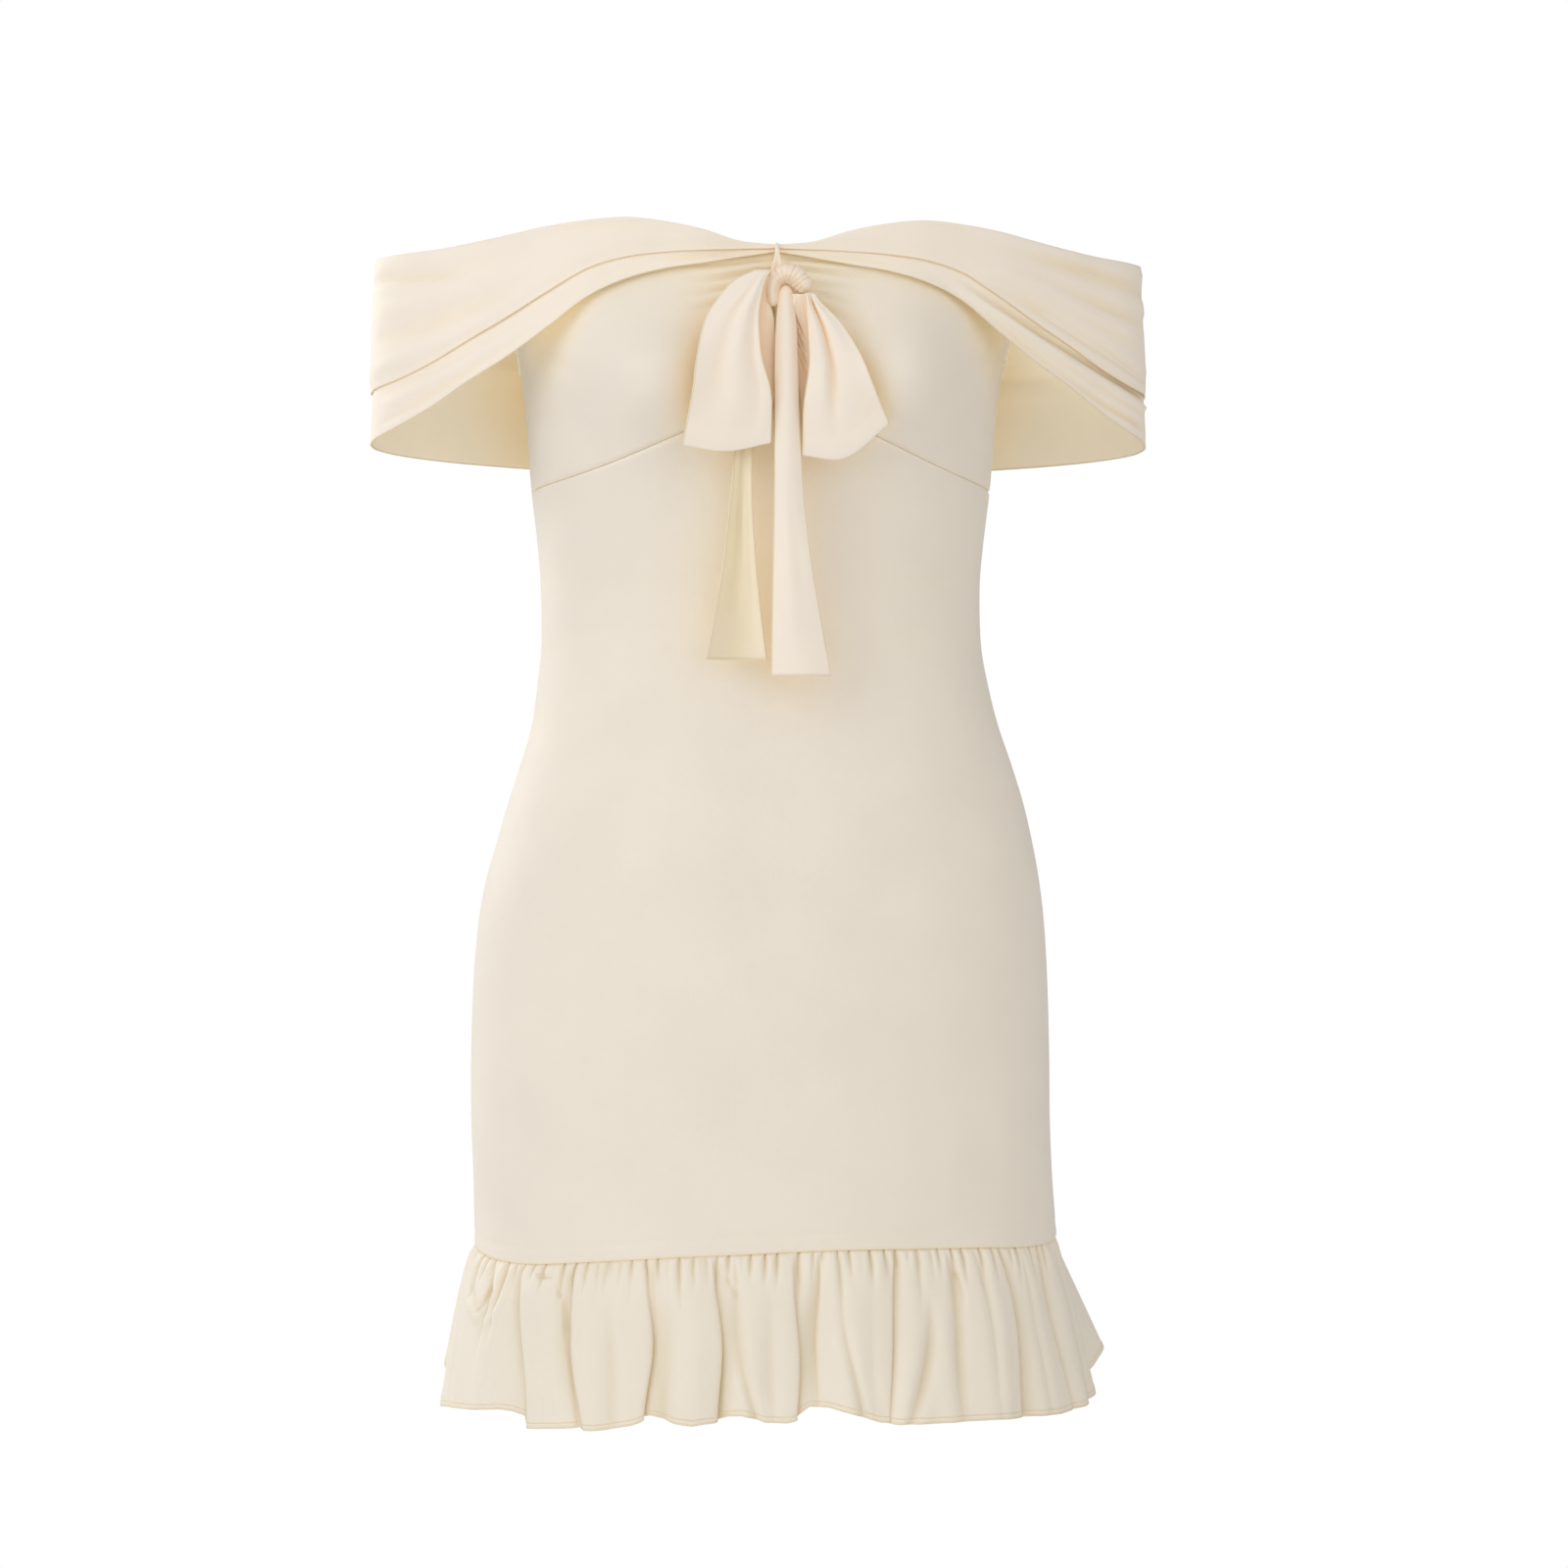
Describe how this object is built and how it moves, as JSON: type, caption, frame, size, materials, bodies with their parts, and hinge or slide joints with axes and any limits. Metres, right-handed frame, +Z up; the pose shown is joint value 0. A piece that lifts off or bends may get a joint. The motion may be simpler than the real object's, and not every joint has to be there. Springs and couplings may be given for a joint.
{
  "type": "off-shoulder dress",
  "caption": "Fitted mini dress in its worn shape, with an off-shoulder folded band, a gathered bust panel, a front bow and a ruffled hem.",
  "frame": {"origin": "on the wearer's upright axis, at the height of the neckline's centre-front dip", "axes": "+Z up along the wearer; the front of the dress faces -Y; +X to the right in the picture"},
  "size_m": [0.4378, 0.2653, 0.6482],
  "materials": {
    "cream_cloth": "smooth matte stretch knit",
    "clear_tape": "clear elastic"
  },
  "bodies": {
    "root": {"bust_panel": "cream_cloth", "front_panel": "cream_cloth", "back_panel": "cream_cloth", "band_lower_front": "cream_cloth", "band_upper_front": "cream_cloth", "band_lower_back": "cream_cloth", "band_upper_back": "cream_cloth", "ruffle_front": "cream_cloth", "ruffle_back": "cream_cloth", "keeper": "cream_cloth", "bow_knot": "cream_cloth", "bow_loop_left": "cream_cloth", "bow_loop_right": "cream_cloth", "bow_tail_left": "cream_cloth", "bow_tail_middle": "cream_cloth", "hanger_loop_left": "clear_tape", "hanger_loop_right": "clear_tape"}
  },
  "joints": []
}
